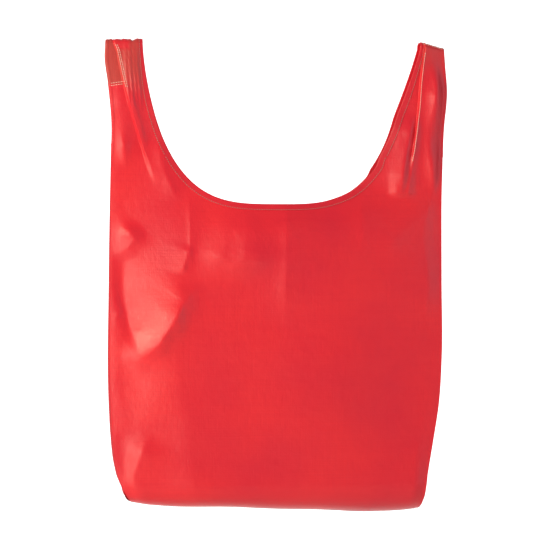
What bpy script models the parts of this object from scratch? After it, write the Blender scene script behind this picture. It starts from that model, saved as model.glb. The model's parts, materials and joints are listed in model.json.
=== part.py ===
"""Foldable vest-cut tote bag, held open and hanging by its two handles.

The frame: +X to the bag's right as one looks at its front, +Y to the back, +Z up. The origin lies on
the rail that both handles hang from: midway between them, at the height of the grips' undersides.

The body is a wedge. Front and back panel meet at the fold line where the straps leave them, and stand
apart at the bottom. A gusset folds inwards along a middle seam on each side, and two flaps turn under
to the bottom seam. All the folds of one side meet in one point, so the bag can fold flat.

Cloth is 0.1 mm thick in the real bag. It is CLOTH thick here, so that each piece is a solid.
"""

import math

import bpy
from mathutils import Matrix, Vector

# Driving sizes, in metres.
HALF_WIDTH = 0.210
FOLD_Z = -0.130
CREASE_Z = -0.576
SEAM_Z = -0.594
BASE_HALF_DEPTH = 0.035
GUSSET_HALF = 0.050
NECK_Z = -0.208
NECK_HALF = 0.168
CORNER_Z = -0.495
CORNER_INSET = 0.016
SEAM_HALF = 0.184

CLOTH = 0.0012
GAP = 0.0004
BINDING_WIDTH = 0.008
BINDING_THICK = 0.0024
THREAD_RADIUS = 0.0003
FOLD_MARGIN = 0.006
PANEL_OFFSET = 0.0013
HINGE_MARGIN = 0.0010
SEAM_CLEAR = 0.0065
TAPE_WIDTH = 0.005
TAPE_THICK = 0.0006
GUSSET_TOP_Z = -0.225

GRIP_BOTTOM_Z = -0.055
GRIP_THICK = 0.0016
GRIP_HALF_GAP = 0.0120
GRIP_CORNER = 0.0070
OUTER_BINDING_WIDTH = 0.005

POCKET_HALF = 0.070
POCKET_TOP_Z = -0.340
POCKET_BOTTOM_Z = -0.462
POCKET_CLOTH = 0.0008
FLAP_HALF = 0.060
FLAP_LENGTH = 0.028
FLAP_AXIS_Z = -0.335
SNAP_DROP = 0.019

WEDGE_ANGLE = math.atan2(BASE_HALF_DEPTH, FOLD_Z - CREASE_Z)
STRAP_TOP_Z = GRIP_BOTTOM_Z - 0.002
STRAP_ANGLE = math.atan2(GRIP_HALF_GAP + GRIP_THICK / 2 - PANEL_OFFSET, STRAP_TOP_Z - FOLD_Z)
CURVE_STEPS = 14

# Colours: base, roughness, metallic.
RED_CLOTH = ((0.78, 0.045, 0.05), 0.42, 0.0)
RED_TAPE = ((0.66, 0.03, 0.045), 0.5, 0.0)
THREAD = ((0.50, 0.09, 0.09), 0.6, 0.0)
SNAP_METAL = ((0.72, 0.72, 0.74), 0.28, 1.0)


def clear_scene():
    """Removes whatever the startup scene holds."""
    for thing in list(bpy.data.objects):
        bpy.data.objects.remove(thing, do_unlink=True)


def make_collection(name):
    """A new collection in the scene, for the bag's parts."""
    collection = bpy.data.collections.new(name)
    bpy.context.scene.collection.children.link(collection)
    return collection


def make_material(name, look):
    """A Principled material from (base colour, roughness, metallic)."""
    colour, roughness, metallic = look
    material = bpy.data.materials.new(name)
    material.use_nodes = True
    shader = material.node_tree.nodes["Principled BSDF"]
    shader.inputs["Base Color"].default_value = (*colour, 1.0)
    shader.inputs["Roughness"].default_value = roughness
    shader.inputs["Metallic"].default_value = metallic
    material.diffuse_color = (*colour, 1.0)
    return material


def make_axis(name, place, parent=None):
    """An empty on a joint's axis. Moving pieces are its children."""
    empty = bpy.data.objects.new(name, None)
    BAG.objects.link(empty)
    empty.location = place
    bpy.context.view_layer.update()
    if parent is not None:
        hang_on(empty, parent)
    return empty


def hang_on(thing, parent):
    """Parents thing and keeps it where it is."""
    bpy.context.view_layer.update()
    thing.parent = parent
    thing.matrix_parent_inverse = parent.matrix_world.inverted()


def place_frame(origin, along_x, along_y):
    """The matrix of a flat piece: local X and Y as given, local Z across it."""
    x = Vector(along_x).normalized()
    z = x.cross(Vector(along_y)).normalized()
    y = z.cross(x)
    matrix = Matrix((x, y, z)).transposed().to_4x4()
    matrix.translation = Vector(origin)
    return matrix


def flat_piece(name, outline, thickness, matrix, look, parent):
    """A flat piece of cloth: a filled 2D outline, given in the piece's own plane."""
    curve = bpy.data.curves.new(name, "CURVE")
    curve.dimensions = "2D"
    curve.fill_mode = "BOTH"
    curve.extrude = thickness / 2
    spline = curve.splines.new("POLY")
    spline.points.add(len(outline) - 1)
    for point, (x, y) in zip(spline.points, outline, strict=True):
        point.co = (x, y, 0.0, 1.0)
    spline.use_cyclic_u = True
    piece = bpy.data.objects.new(name, curve)
    BAG.objects.link(piece)
    piece.matrix_world = matrix
    curve.materials.append(look)
    hang_on(piece, parent)
    return piece


def thread_line(name, points, matrix, look, parent):
    """A fine tube through points, given in the frame of the piece that it lies on."""
    curve = bpy.data.curves.new(name, "CURVE")
    curve.dimensions = "3D"
    curve.bevel_depth = THREAD_RADIUS
    curve.bevel_resolution = 1
    curve.use_fill_caps = True
    spline = curve.splines.new("POLY")
    spline.points.add(len(points) - 1)
    for point, place in zip(spline.points, points, strict=True):
        point.co = (*place, 1.0)
    piece = bpy.data.objects.new(name, curve)
    BAG.objects.link(piece)
    piece.matrix_world = matrix
    curve.materials.append(look)
    hang_on(piece, parent)
    return piece


def round_piece(name, radius, height, matrix, look, parent, top_radius=None):
    """A disc, or a dome with a smaller top, standing on its local XY plane."""
    bpy.ops.mesh.primitive_cone_add(
        vertices=20,
        radius1=radius,
        radius2=radius if top_radius is None else top_radius,
        depth=height,
    )
    piece = bpy.context.object
    piece.name = name
    for owner in list(piece.users_collection):
        owner.objects.unlink(piece)
    BAG.objects.link(piece)
    piece.matrix_world = matrix @ Matrix.Translation((0.0, 0.0, height / 2))
    piece.data.shade_smooth()
    piece.data.set_sharp_from_angle(angle=math.radians(40))
    piece.data.materials.append(look)
    hang_on(piece, parent)
    return piece


def ring_piece(name, inner, outer, height, matrix, look, parent):
    """A flat ring, as a turned profile."""
    corners = ((outer, height), (outer, 0.0), (inner, 0.0), (inner, height))
    mesh = bpy.data.meshes.new(name)
    mesh.from_pydata(
        [(radius, 0.0, z) for radius, z in corners], [(0, 1), (1, 2), (2, 3), (3, 0)], []
    )
    piece = bpy.data.objects.new(name, mesh)
    BAG.objects.link(piece)
    piece.matrix_world = matrix
    turn = piece.modifiers.new("turn", "SCREW")
    turn.axis = "Z"
    turn.steps = 20
    turn.render_steps = 20
    turn.use_merge_vertices = True
    turn.merge_threshold = 0.00001
    turn.use_smooth_shade = False
    mesh.materials.append(look)
    hang_on(piece, parent)
    return piece


def neck_x(z):
    """Half the width of the neckline at height z."""
    share = min(1.0, abs(z / NECK_Z))
    return NECK_HALF * (1.0 - share * share) ** (1.0 / 3.0)


def neck_curve(top_z, offset=0.0):
    """Points (x, z) down the neckline, from the right strap to its lowest point, moved offset into the cloth."""
    points = []
    for step in range(CURVE_STEPS + 1):
        angle = math.pi / 2 * step / CURVE_STEPS
        x_share = math.cos(angle) ** (2.0 / 3.0)
        points.append((NECK_HALF * x_share, NECK_Z * math.sin(angle)))
    points = [p for p in points if p[1] < top_z - 0.002]
    points.insert(0, (neck_x(top_z), top_z))
    moved = []
    for index, (x, z) in enumerate(points):
        before = points[max(index - 1, 0)]
        after = points[min(index + 1, len(points) - 1)]
        tangent = Vector((after[0] - before[0], after[1] - before[1]))
        if index == len(points) - 1:
            tangent = Vector((-1.0, 0.0))
        normal = Vector((-tangent.y, tangent.x)).normalized()
        moved.append((x + normal.x * offset, z + normal.y * offset))
    moved[-1] = (0.0, NECK_Z - offset)
    if offset:
        moved[0] = (neck_x(top_z) + offset, top_z)
    return moved


def side_x(z):
    """Half the width of the panel at height z: it narrows at the bottom corner."""
    if z >= CORNER_Z:
        return HALF_WIDTH
    share = (CORNER_Z - z) / (CORNER_Z - CREASE_Z)
    return HALF_WIDTH - CORNER_INSET * share**1.2


def side_curve(top_z):
    """Points (x, z) down the right side of a panel, from top_z to the bottom crease."""
    corner = [CORNER_Z + (CREASE_Z - CORNER_Z) * k / 4 for k in range(5)]
    return [(HALF_WIDTH, top_z)] + [(side_x(z), z) for z in corner]


def mirrored(right_half):
    """A whole closed outline from its right half, which starts and ends on the middle line."""
    left_half = [(-x, y) for x, y in reversed(right_half) if abs(x) > 1e-6]
    return right_half + left_half


def across(right_half):
    """A line from its right half, which ends on the middle line."""
    return right_half + [(-x, y) for x, y in reversed(right_half[:-1])]


def panel_matrix(face):
    """The frame of a panel: local Y up the cloth, local Z to the front. face is -1 front, 1 back."""
    angle = math.pi / 2 + face * WEDGE_ANGLE
    turn = Matrix.Rotation(angle, 4, "X")
    outwards = turn @ Vector((0.0, 0.0, -face * PANEL_OFFSET))
    return Matrix.Translation(Vector((0.0, 0.0, FOLD_Z)) + outwards) @ turn


def down_panel(points):
    """Points (x, z) of the upright view, as points in a panel's own plane."""
    return [(x, (z - FOLD_Z) / math.cos(WEDGE_ANGLE)) for x, z in points]


def make_panel(side_name, face, parent):
    """A vest-cut panel, its neck binding and the binding's stitching."""
    top_z = FOLD_Z - FOLD_MARGIN
    matrix = panel_matrix(face)
    inner = neck_curve(top_z, BINDING_WIDTH + GAP)
    outline = list(reversed(inner)) + side_curve(top_z) + [(0.0, CREASE_Z)]
    flat_piece(
        f"{side_name}_panel", mirrored(down_panel(outline)), CLOTH, matrix, LOOKS["cloth"], parent
    )
    edge = across(neck_curve(top_z)) + list(reversed(across(neck_curve(top_z, BINDING_WIDTH))))
    flat_piece(
        f"{side_name}_neck_binding",
        down_panel(edge),
        BINDING_THICK,
        matrix,
        LOOKS["tape"],
        parent,
    )
    over = -face * (BINDING_THICK / 2 + GAP + THREAD_RADIUS)
    line = down_panel(across(neck_curve(top_z, BINDING_WIDTH * 0.8)))
    thread_line(
        f"{side_name}_neck_stitching",
        [(x, y, over) for x, y in line],
        matrix,
        LOOKS["thread"],
        parent,
    )


def crease_points(side, face):
    """The ends of the crease between a panel and its gusset half: at the fold line and at the bottom."""
    top = Vector((side * HALF_WIDTH, 0.0, FOLD_Z))
    bottom = Vector((side * HALF_WIDTH, face * BASE_HALF_DEPTH, CREASE_Z))
    return top, bottom


def gusset_matrix(side, face):
    """The frame of a gusset half: origin where the folds meet, local Y up the crease, local X inwards."""
    top, bottom = crease_points(side, face)
    inset = math.sqrt(GUSSET_HALF**2 - BASE_HALF_DEPTH**2)
    middle = Vector((side * (HALF_WIDTH - inset), 0.0, CREASE_Z))
    up = (top - bottom).normalized()
    inwards = middle - bottom
    inwards -= inwards.dot(up) * up
    return place_frame(top, inwards, up)


def gusset_outline():
    """A gusset half in its own plane: it narrows towards the fold line."""
    top, bottom = crease_points(1, 1)
    length = (top - bottom).length
    scale = length / (FOLD_Z - CREASE_Z)
    heights = [GUSSET_TOP_Z, CORNER_Z, (CORNER_Z + CREASE_Z) / 2, CREASE_Z + 0.003]
    levels = [(z - FOLD_Z) * scale for z in heights]
    outer = [(HINGE_MARGIN + HALF_WIDTH - side_x(z), level) for z, level in zip(heights, levels, strict=True)]
    inner = [(-level * GUSSET_HALF / length - SEAM_CLEAR, level) for level in (levels[-1], levels[0])]
    return outer + inner


def make_gusset(side_name, side):
    """The two halves of a side gusset. Each turns on its crease; they meet at the inner fold."""
    for face_name, face in FACES:
        top, bottom = crease_points(side, face)
        axis = make_axis(f"{side_name}_gusset_{face_name}_axis", (top + bottom) / 2, PARENTS[face_name])
        name = f"{side_name}_gusset_{face_name}_half"
        flat_piece(name, gusset_outline(), CLOTH, gusset_matrix(side, face), LOOKS["cloth"], axis)


def make_bottom():
    """The two flaps that turn under, and the bottom seam, on the back flap."""
    for face_name, face in FACES:
        hinge = Vector((0.0, face * (BASE_HALF_DEPTH + PANEL_OFFSET), CREASE_Z))
        seam = Vector((0.0, 0.0, SEAM_Z))
        axis = make_axis(f"bottom_{face_name}_axis", hinge, PARENTS[face_name])
        matrix = place_frame(hinge, (1.0, 0.0, 0.0), hinge - seam)
        length = (hinge - seam).length
        near, far = -2 * HINGE_MARGIN, -(length - SEAM_CLEAR)
        outline = mirrored(
            [(0.0, near), (side_x(CREASE_Z), near), (SEAM_HALF, far), (0.0, far)]
        )
        flat_piece(f"bottom_{face_name}_flap", outline, CLOTH, matrix, LOOKS["cloth"], axis)
        if face_name == "back":
            tape = mirrored(
                [(0.0, far + TAPE_WIDTH), (SEAM_HALF, far + TAPE_WIDTH), (SEAM_HALF, far), (0.0, far)]
            )
            outside = Matrix.Translation((0.0, 0.0, -(CLOTH + TAPE_THICK) / 2 - GAP))
            flat_piece("bottom_seam_tape", tape, TAPE_THICK, matrix @ outside, LOOKS["tape"], axis)


def strap_matrix(face):
    """The frame of a strap: local Y up the strap, local Z to the front."""
    angle = math.pi / 2 - face * STRAP_ANGLE
    turn = Matrix.Rotation(angle, 4, "X")
    return Matrix.Translation((0.0, face * PANEL_OFFSET, FOLD_Z)) @ turn


def up_strap(points, side):
    """Points (x, z) of the upright view, as points in a strap's own plane."""
    return [(side * x, (z - FOLD_Z) / math.cos(STRAP_ANGLE)) for x, z in points]


def strap_heights():
    """Heights at which a strap's curved inner edge has a point, bottom to top."""
    low = FOLD_Z + FOLD_MARGIN
    return [low + (STRAP_TOP_Z - low) * k / 5 for k in range(6)]


def grip_profile():
    """The grip's outline across the handle: an upside-down U with a flat underside at height 0."""
    outer_half = GRIP_HALF_GAP + GRIP_THICK

    def arch(half, top, corner):
        points = [(-half, GRIP_BOTTOM_Z)]
        for step in range(5):
            angle = math.pi / 2 * step / 4
            points.append((-half + corner * (1 - math.cos(angle)), top - corner * (1 - math.sin(angle))))
        return points + [(-y, z) for y, z in reversed(points)]

    outer = arch(outer_half, GRIP_THICK, GRIP_CORNER + GRIP_THICK)
    inner = arch(GRIP_HALF_GAP, 0.0, GRIP_CORNER)
    return outer + list(reversed(inner))


def make_handle(side_name, side):
    """A handle: a strap from each panel, their edge bindings, and the grip that joins them over the rail."""
    outer_x = HALF_WIDTH - OUTER_BINDING_WIDTH
    axis = make_axis(f"{side_name}_handle_axis", (side * 0.175, 0.0, FOLD_Z))
    for face_name, face in FACES:
        matrix = strap_matrix(face)
        name = f"{side_name}_handle_{face_name}"
        heights = strap_heights()
        inner = [(neck_x(z) + BINDING_WIDTH + GAP, z) for z in heights]
        cloth = inner + [(outer_x - GAP, heights[-1]), (outer_x - GAP, heights[0])]
        flat_piece(f"{name}_strap", up_strap(cloth, side), CLOTH, matrix, LOOKS["cloth"], axis)
        edge = [(neck_x(z), z) for z in heights]
        band = edge + [(x + BINDING_WIDTH, z) for x, z in reversed(edge)]
        flat_piece(
            f"{name}_inner_binding", up_strap(band, side), BINDING_THICK * 0.8, matrix, LOOKS["tape"], axis
        )
        ends = (heights[0], heights[-1])
        hem = [(outer_x, ends[0]), (outer_x, ends[1]), (HALF_WIDTH, ends[1]), (HALF_WIDTH, ends[0])]
        flat_piece(
            f"{name}_outer_binding", up_strap(hem, side), BINDING_THICK * 0.7, matrix, LOOKS["tape"], axis
        )
    grip_inner = neck_x(GRIP_BOTTOM_Z)
    middle = side * (grip_inner + HALF_WIDTH) / 2
    across = place_frame((middle, 0.0, 0.0), (0.0, 1.0, 0.0), (0.0, 0.0, 1.0))
    width = HALF_WIDTH - grip_inner
    flat_piece(f"{side_name}_handle_grip", grip_profile(), width, across, LOOKS["cloth"], axis)
    outside = GRIP_HALF_GAP + GRIP_THICK + GAP + THREAD_RADIUS
    reach = width / 2 - 0.002
    seam_z = GRIP_BOTTOM_Z + 0.004
    ends = [(-outside, seam_z, -reach), (-outside, seam_z, reach)]
    thread_line(f"{side_name}_handle_stitching", ends, across, LOOKS["thread"], axis)


def rounded_flap(half, top, bottom, corner, steps=4):
    """A closed outline with a straight top and rounded lower corners."""
    right = [(0.0, top), (half, top)]
    for step in range(steps + 1):
        angle = math.pi / 2 * step / steps
        right.append(
            (half - corner * (1 - math.cos(angle)), bottom + corner * (1 - math.sin(angle)))
        )
    return mirrored(right + [(0.0, bottom)])


def make_pocket(parent):
    """The stow pocket inside the back panel, its flap, and the press stud that closes it."""
    matrix = panel_matrix(1)
    scale = 1.0 / math.cos(WEDGE_ANGLE)
    top, bottom = ((z - FOLD_Z) * scale for z in (POCKET_TOP_Z, POCKET_BOTTOM_Z))
    pocket_level = CLOTH / 2 + GAP + POCKET_CLOTH / 2
    flat_piece(
        "stow_pocket",
        rounded_flap(POCKET_HALF, top, bottom, 0.012),
        POCKET_CLOTH,
        matrix @ Matrix.Translation((0.0, 0.0, pocket_level)),
        LOOKS["cloth"],
        parent,
    )
    axis_y = (FLAP_AXIS_Z - FOLD_Z) * scale
    axis_level = 0.0030
    axis = make_axis("pocket_flap_axis", matrix @ Vector((0.0, axis_y, axis_level)), parent)
    flap_level = 0.0045
    flat_piece(
        "pocket_flap",
        rounded_flap(FLAP_HALF, axis_y - HINGE_MARGIN, axis_y - FLAP_LENGTH, 0.010),
        POCKET_CLOTH,
        matrix @ Matrix.Translation((0.0, 0.0, flap_level)),
        LOOKS["cloth"],
        axis,
    )

    def on_panel(level):
        return matrix @ Matrix.Translation((0.0, axis_y - SNAP_DROP, level))

    metal = LOOKS["metal"]
    flange_level = pocket_level + POCKET_CLOTH / 2 + 0.0003
    round_piece("snap_stud_flange", 0.0045, 0.0004, on_panel(flange_level), metal, parent)
    stud_level = flange_level + 0.0004 + 0.00005
    round_piece("snap_stud", 0.0018, 0.0009, on_panel(stud_level), metal, parent, 0.0014)
    ring_piece("snap_socket", 0.0024, 0.0048, 0.0008, on_panel(0.0030), metal, axis)
    cap_level = flap_level + POCKET_CLOTH / 2 + 0.0003
    round_piece("snap_cap", 0.0055, 0.0010, on_panel(cap_level), metal, axis, 0.0042)


clear_scene()
BAG = make_collection("foldable_tote_bag")
LOOKS = {
    "cloth": make_material("red_cloth", RED_CLOTH),
    "tape": make_material("red_tape", RED_TAPE),
    "thread": make_material("thread", THREAD),
    "metal": make_material("snap_metal", SNAP_METAL),
}
FACES = (("front", -1), ("back", 1))
SIDES = (("left", -1), ("right", 1))
PARENTS = {
    "back": make_axis("back_root", (0.0, 0.0, FOLD_Z)),
    "front": make_axis("fold_flat_axis", (0.0, 0.0, FOLD_Z)),
}
for FACE_NAME, FACE in FACES:
    make_panel(FACE_NAME, FACE, PARENTS[FACE_NAME])
for SIDE_NAME, SIDE in SIDES:
    make_gusset(SIDE_NAME, SIDE)
    make_handle(SIDE_NAME, SIDE)
make_bottom()
make_pocket(PARENTS["back"])
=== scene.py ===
"""Looks of the foldable tote bag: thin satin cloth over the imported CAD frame.

All cloth samples one of two smooth surfaces, the front sheet and the back sheet, given as a depth over
(x, z). Pieces that meet share that surface and its normals, so no border shows between them.
"""

import json
import math

import bmesh
import bpy
import numpy as np
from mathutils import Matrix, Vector


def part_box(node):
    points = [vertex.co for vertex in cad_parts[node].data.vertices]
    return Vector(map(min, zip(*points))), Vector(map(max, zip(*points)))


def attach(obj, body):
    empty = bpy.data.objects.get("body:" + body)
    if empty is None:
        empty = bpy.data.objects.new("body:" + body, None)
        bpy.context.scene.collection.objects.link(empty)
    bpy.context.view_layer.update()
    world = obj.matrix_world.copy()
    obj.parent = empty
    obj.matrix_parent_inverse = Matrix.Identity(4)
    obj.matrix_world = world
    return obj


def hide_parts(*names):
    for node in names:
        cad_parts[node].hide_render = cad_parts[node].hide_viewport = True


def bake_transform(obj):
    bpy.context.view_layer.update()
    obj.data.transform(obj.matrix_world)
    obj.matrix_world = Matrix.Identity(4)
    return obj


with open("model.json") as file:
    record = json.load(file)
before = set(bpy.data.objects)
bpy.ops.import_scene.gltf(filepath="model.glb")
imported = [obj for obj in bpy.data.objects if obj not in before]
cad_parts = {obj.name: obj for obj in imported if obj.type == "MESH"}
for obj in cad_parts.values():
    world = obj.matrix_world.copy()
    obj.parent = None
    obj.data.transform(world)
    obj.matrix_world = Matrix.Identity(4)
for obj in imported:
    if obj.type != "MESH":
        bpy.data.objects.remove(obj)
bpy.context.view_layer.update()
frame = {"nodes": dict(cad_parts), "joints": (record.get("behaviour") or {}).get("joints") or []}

# Places, all from the frame.
JOINTS = {joint["name"]: joint for joint in frame["joints"]}
FOLD_Z = JOINTS["fold_flat"]["pos_m"][2]
CREASE_Z = JOINTS["bottom_back_crease"]["pos_m"][2]
CREASE_DEPTH = JOINTS["bottom_back_crease"]["pos_m"][1]
LID_AXIS = Vector(JOINTS["pocket_lid_hinge"]["pos_m"])
HALF_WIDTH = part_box("back_panel")[1].x
SEAM_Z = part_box("bottom_back_flap")[0].z + 0.0006
GRIP_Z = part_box("left_handle_grip")[0].z
GRIP_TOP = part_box("left_handle_grip")[1].z
GRIP_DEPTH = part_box("left_handle_grip")[1].y - 0.0008

# Sizes, in metres.
CLOTH = 0.0005
HEM = 0.008
HEM_HALF = 0.0006
OUTER_HEM = 0.0026
NECK_HALF = 0.1695
NECK_Z = -0.2061
NECK_POWER_X = 3.4
NECK_POWER_Z = 1.62
ROOT_Z = FOLD_Z - 0.015
PINCH = 0.0055
GRIP_CORNER = 0.007
WEDGE = (CREASE_DEPTH - 0.0013) / (FOLD_Z - CREASE_Z)
BOTTOM_STRIP = 0.026
SEAM_HALF = 0.181
STITCH_LENGTH = 0.0021
STITCH_STEP = 0.0031
STITCH_RADIUS = 0.00033
POCKET_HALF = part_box("stow_pocket")[1].x
POCKET_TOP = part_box("stow_pocket")[1].z
POCKET_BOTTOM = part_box("stow_pocket")[0].z
FLAP_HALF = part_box("pocket_flap")[1].x
FLAP_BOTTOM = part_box("pocket_flap")[0].z

# Half width of the bag at a few heights. It pulls in at the bottom corners and above the fold line.
LEFT_SIDE = (
    (-0.580, 0.1822), (-0.560, 0.1952), (-0.535, 0.2026), (-0.500, 0.2070), (-0.460, 0.2094),
    (-0.300, 0.2100), (-0.200, 0.2088), (-0.150, 0.2078), (-0.102, 0.2066), (-0.050, 0.2112),
    (-0.018, 0.2150), (0.002, 0.2138),
)
RIGHT_SIDE = (
    (-0.580, 0.1842), (-0.545, 0.1895), (-0.500, 0.1977), (-0.460, 0.2045), (-0.400, 0.2093),
    (-0.300, 0.2106), (-0.200, 0.2122), (-0.150, 0.2140), (-0.105, 0.2152), (-0.060, 0.2180),
    (-0.022, 0.2156), (0.002, 0.2140),
)

# How far the bottom seam hangs above its height in the frame, by share across: the right corner droops.
BOTTOM_EDGE = (
    (-1.0, 0.0125), (-0.9, 0.0086), (-0.8, 0.0068), (-0.5, 0.0046), (0.0, 0.0012), (0.4, -0.0010),
    (0.7, -0.0044), (0.9, -0.0036), (1.0, -0.0012),
)

# Where each handle's front strap is folded over itself, as (height, x).
LEFT_PLEAT = (
    (-0.190, -0.1505), (-0.174, -0.1561), (-0.132, -0.1700), (-0.089, -0.1835), (-0.057, -0.1922),
    (-0.025, -0.1992), (-0.012, -0.2022), (0.002, -0.2090),
)
RIGHT_PLEAT = (
    (-0.200, 0.1655), (-0.172, 0.1693), (-0.136, 0.1748), (-0.087, 0.1808), (-0.048, 0.1838),
    (0.002, 0.1905),
)

# The front's main ridge, as (height, x): the cloth left of it turns towards the side.
FRONT_RIDGE = (
    (-0.590, -0.114), (-0.460, -0.120), (-0.380, -0.123), (-0.300, -0.118), (-0.190, -0.113),
    (-0.150, -0.116),
)
BACK_RIDGE = ((-0.590, 0.120), (-0.420, 0.104), (-0.300, 0.140), (-0.150, 0.150))

# Folds, each as its line of (x, z) points, its height (negative for a valley), how far it falls off on
# its left and on its right, walked from its first point, the share of the line over which either end
# fades, and the radius of its crest.
FRONT_FOLDS = (
    # The left handle's front strap: the doubled cloth, four gathers, the cross seam.
    (((-0.188, -0.058), (-0.173, -0.104), (-0.163, -0.140)), 0.0016, 0.003, 0.006, 0.3, 0.0014),
    *(
        (((place, 0.020), (place, -0.030), (place + 0.006, -0.100)), rise, 0.0014, 0.0026, 0.4, 0.0006)
        for place, rise in ((-0.1900, 0.0016), (-0.1850, 0.0024), (-0.1800, 0.0018), (-0.1755, 0.0020))
    ),
    (((-0.216, -0.0590), (-0.202, -0.0575), (-0.190, -0.0550)), 0.0008, 0.002, 0.004, 0.05, 0.0006),
    # The left strap, down to the neckline.
    (((-0.209, -0.055), (-0.200, -0.110), (-0.188, -0.165)), 0.0036, 0.008, 0.012, 0.3, 0.003),
    (((-0.207, -0.100), (-0.197, -0.125), (-0.186, -0.140)), 0.0016, 0.006, 0.005, 0.3, 0.002),
    (((-0.152, -0.120), (-0.142, -0.165), (-0.124, -0.205)), 0.0026, 0.010, 0.014, 0.3, 0.003),
    # The right strap.
    (((0.180, -0.188), (0.160, -0.191), (0.140, -0.189)), 0.0030, 0.003, 0.016, 0.4, 0.002),
    (
        ((0.204, -0.015), (0.208, -0.070), (0.207, -0.130), (0.201, -0.200)),
        0.0115, 0.004, 0.013, 0.35, 0.002,
    ),
    (((0.176, -0.085), (0.167, -0.130), (0.156, -0.200)), 0.0086, 0.008, 0.025, 0.3, 0.003),
    # The left third: a slanting facet between a valley and a ridge, and smaller folds above it.
    (((-0.111, -0.190), (-0.110, -0.290)), 0.0010, 0.012, 0.003, 0.3, 0.001),
    (((-0.216, -0.272), (-0.190, -0.262), (-0.166, -0.236)), 0.0030, 0.022, 0.010, 0.35, 0.002),
    (
        ((-0.211, -0.250), (-0.2035, -0.305), (-0.190, -0.3415), (-0.172, -0.396)),
        -0.0050, 0.024, 0.010, 0.22, 0.005,
    ),
    (
        (
            (-0.098, -0.300), (-0.119, -0.328), (-0.133, -0.355), (-0.151, -0.381), (-0.176, -0.402),
            (-0.190, -0.411),
        ),
        0.0092, 0.009, 0.022, 0.42, 0.0045,
    ),
    (((-0.190, -0.420), (-0.176, -0.470), (-0.170, -0.520)), 0.0012, 0.020, 0.030, 0.4, 0.006),
    (((-0.122, -0.296), (-0.116, -0.278), (-0.111, -0.256)), 0.0020, 0.010, 0.004, 0.3, 0.001),
    (((-0.216, -0.362), (-0.204, -0.350), (-0.196, -0.334)), 0.0022, 0.006, 0.003, 0.35, 0.001),
    # The lower left corner.
    (
        ((-0.212, -0.480), (-0.200, -0.522), (-0.190, -0.548), (-0.188, -0.600)),
        -0.0026, 0.018, 0.008, 0.2, 0.003,
    ),
    (
        ((-0.158, -0.488), (-0.174, -0.522), (-0.184, -0.552), (-0.186, -0.600)),
        0.0054, 0.024, 0.014, 0.3, 0.003,
    ),
    (((-0.114, -0.440), (-0.112, -0.510), (-0.104, -0.600)), 0.0014, 0.040, 0.014, 0.3, 0.005),
    # Under the neckline.
    (((0.012, -0.180), (0.010, -0.270), (0.008, -0.370)), 0.0084, 0.110, 0.046, 0.35, 0.0015),
    (((-0.106, -0.262), (-0.055, -0.278), (0.006, -0.274)), 0.0044, 0.034, 0.016, 0.35, 0.004),
    (((-0.038, -0.200), (-0.040, -0.250), (-0.046, -0.310)), 0.0050, 0.080, 0.026, 0.45, 0.004),
    # The right side and the lower right corner.
    (((0.107, -0.185), (0.109, -0.280)), 0.0020, 0.040, 0.018, 0.35, 0.002),
    (((0.216, -0.200), (0.170, -0.228), (0.120, -0.280)), 0.0026, 0.020, 0.050, 0.35, 0.004),
    (((0.216, -0.520), (0.188, -0.555), (0.180, -0.600)), 0.0030, 0.006, 0.012, 0.2, 0.001),
)
BACK_FOLDS = (
    (((0.150, -0.160), (0.120, -0.260), (0.104, -0.330)), 0.0044, 0.030, 0.014, 0.3, 0.0014),
    (((-0.155, -0.160), (-0.128, -0.270), (-0.132, -0.350)), 0.0038, 0.014, 0.028, 0.3, 0.0014),
    (((0.214, -0.300), (0.160, -0.380), (0.120, -0.410)), 0.0042, 0.006, 0.014, 0.3, 0.0014),
    (((-0.212, -0.290), (-0.165, -0.345), (-0.150, -0.430)), 0.0042, 0.014, 0.006, 0.3, 0.0014),
    (((0.212, -0.500), (0.188, -0.545), (0.186, -0.595)), 0.0040, 0.006, 0.010, 0.2, 0.0014),
    (((-0.212, -0.510), (-0.190, -0.550), (-0.186, -0.595)), 0.0034, 0.010, 0.005, 0.2, 0.0014),
    (((-0.020, -0.190), (-0.012, -0.250), (-0.010, -0.320)), 0.0028, 0.030, 0.006, 0.3, 0.0014),
)

# Soft bumps and hollows of the front, each as its centre, its radii and its height.
FRONT_SWELLS = (
    ((0.090, -0.430), (0.090, 0.140), 0.0020),
    ((-0.190, -0.241), (0.015, 0.010), 0.0030),
    ((-0.184, -0.448), (0.024, 0.045), -0.0022),
)


def smoothstep(value):
    """0 below 0, 1 above 1, and smooth between."""
    share = np.clip(value, 0.0, 1.0)
    return share * share * (3.0 - 2.0 * share)


def unit(vectors):
    """The vectors at length 1."""
    return vectors / np.maximum(np.linalg.norm(vectors, axis=-1, keepdims=True), 1e-12)


def curve_at(knots, where):
    """A smooth curve through knots of (place, value), at the places asked for."""
    places = np.array([k[0] for k in knots])
    values = np.array([k[1] for k in knots])
    slopes = np.gradient(values, places)
    index = np.clip(np.searchsorted(places, where) - 1, 0, len(places) - 2)
    width = places[index + 1] - places[index]
    share = np.clip((where - places[index]) / width, 0.0, 1.0)
    cubic = 2 * share**3 - 3 * share**2 + 1
    return (
        cubic * values[index]
        + (share**3 - 2 * share**2 + share) * slopes[index] * width
        + (1 - cubic) * values[index + 1]
        + (share**3 - share**2) * slopes[index + 1] * width
    )


def side_half(z, side):
    """Half the bag's width at height z, on the side -1 left or 1 right."""
    return curve_at(LEFT_SIDE if side < 0 else RIGHT_SIDE, np.asarray(z, float))


def neck_half(z, side):
    """Half the width of the neckline at height z. The right handle leans out towards its top."""
    z = np.asarray(z, float)
    share = np.clip(np.abs(z / NECK_Z), 0.0, 1.0) ** NECK_POWER_Z
    lean = 0.0170 * np.clip(1.0 + z / 0.095, 0.0, 1.0) ** 1.3 if side > 0 else 0.0
    return NECK_HALF * (1.0 - share) ** (1.0 / NECK_POWER_X) + lean


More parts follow.
